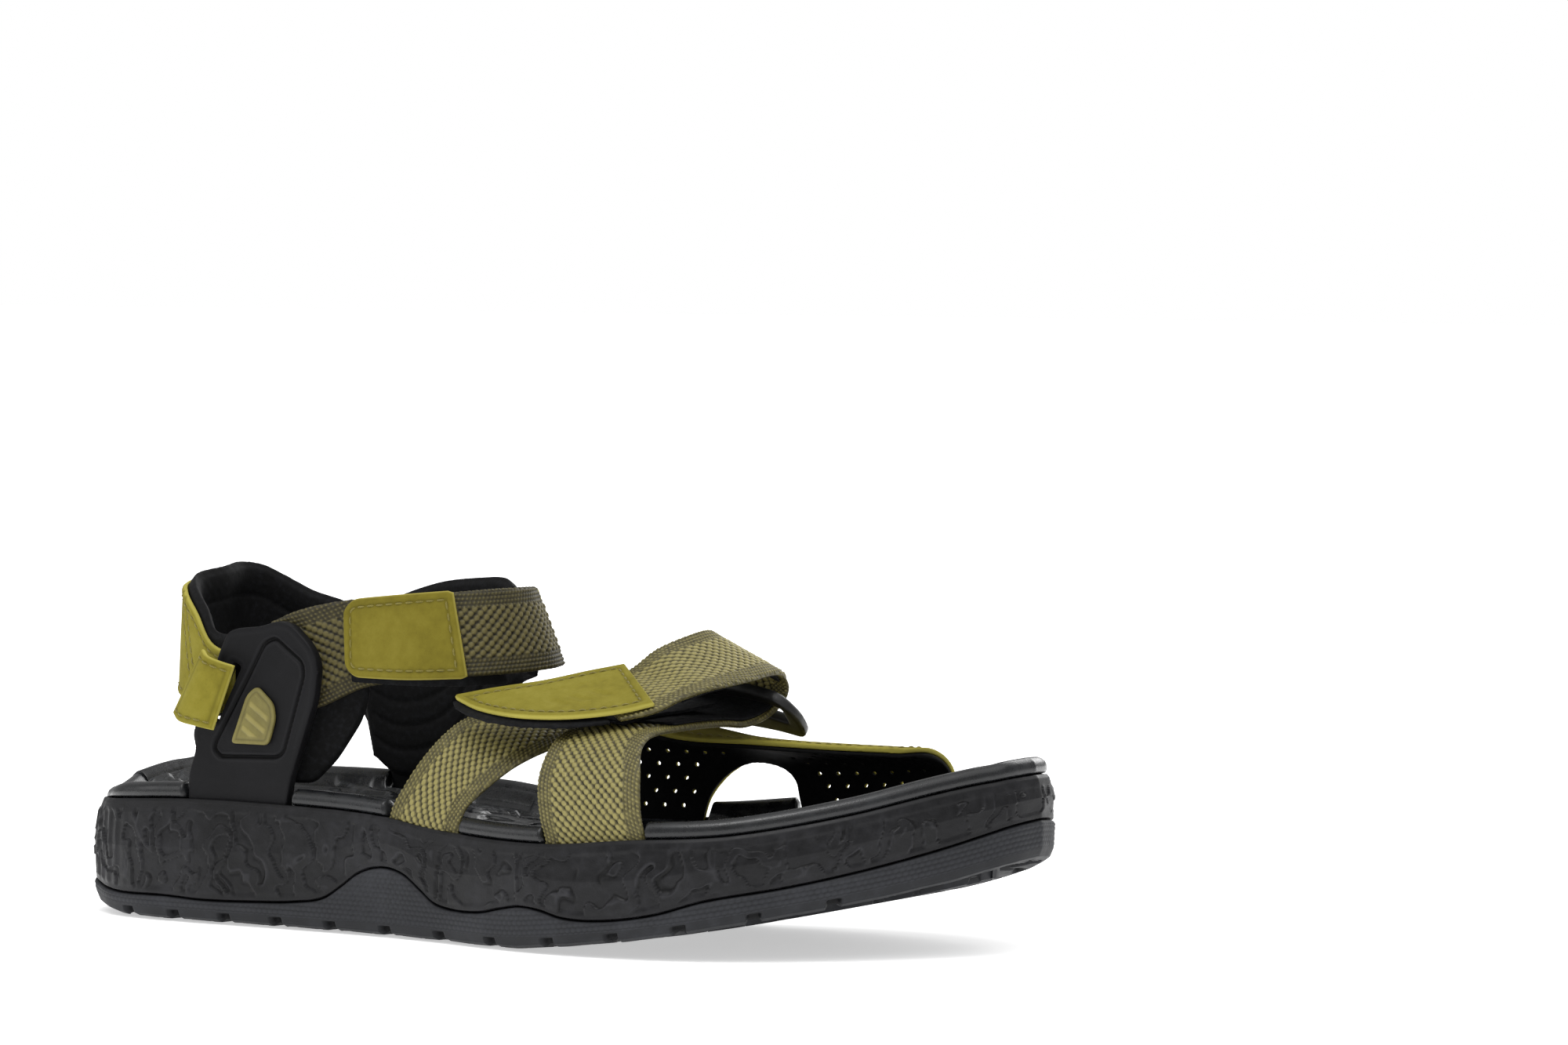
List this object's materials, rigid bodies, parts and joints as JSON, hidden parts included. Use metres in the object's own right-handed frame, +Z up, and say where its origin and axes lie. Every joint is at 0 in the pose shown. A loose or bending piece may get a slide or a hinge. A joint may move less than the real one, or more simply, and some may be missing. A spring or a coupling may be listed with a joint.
{
  "type": "sport sandal",
  "caption": "Open sport sandal, right foot, with webbing straps over forefoot and ankle, hook-and-loop closures, a heel sling and a contoured cushioned sole.",
  "frame": {"origin": "middle of the footprint on the ground", "axes": "+X towards the toe, +Y towards the medial (inner) side, +Z up"},
  "size_m": [0.3034, 0.1085, 0.1015],
  "materials": {
    "outsole_rubber": "matte",
    "midsole_foam": "matte",
    "cushion_film": "satin",
    "footbed_foam": "semi-gloss",
    "moulded_support": "matte",
    "badge_inlay": "matte",
    "neoprene": "matte knit",
    "nubuck": "matte nubuck",
    "webbing": "ribbed weave",
    "hook_and_loop": "pile",
    "lining_knit": "fine knit"
  },
  "bodies": {
    "sandal": {"outsole": "outsole_rubber", "midsole": "midsole_foam", "heel_cushion_unit": "cushion_film", "footbed": "footbed_foam", "lateral_quarter": "moulded_support", "lateral_quarter_badge": "badge_inlay", "lateral_quarter_pad": "neoprene", "medial_quarter": "moulded_support", "medial_wing_pad": "neoprene", "heel_sling_leather": "nubuck", "heel_sling_lining": "neoprene", "lateral_sling_loop": "nubuck", "medial_sling_loop": "nubuck", "ankle_strap_webbing": "webbing", "ankle_front_patch": "nubuck", "ankle_anchor_webbing": "webbing", "ankle_anchor_pile": "hook_and_loop", "forefoot_strap_rear": "webbing", "forefoot_strap_front": "webbing", "instep_pile_pad": "hook_and_loop", "medial_panel": "nubuck", "medial_panel_lining": "lining_knit", "instep_ring": "moulded_support"},
    "instep_flap": {"instep_closure_webbing": "webbing", "instep_closure_tab": "nubuck", "instep_closure_hook": "hook_and_loop"},
    "ankle_flap": {"ankle_closure_webbing": "webbing", "ankle_closure_tab": "nubuck", "ankle_closure_hook": "hook_and_loop"}
  },
  "joints": [
    {"name": "instep_closure", "type": "hinge", "parent": "sandal", "child": "instep_flap", "pos_m": [0.0495, 0.02956, 0.07795], "axis": [-0.9188, -0.0278, 0.3938], "range_deg": [0, 120]},
    {"name": "ankle_closure", "type": "hinge", "parent": "sandal", "child": "ankle_flap", "pos_m": [-0.0065, 0.01331, 0.08645], "axis": [-0.3276, -0.0936, 0.9402], "range_deg": [0, 100]}
  ]
}
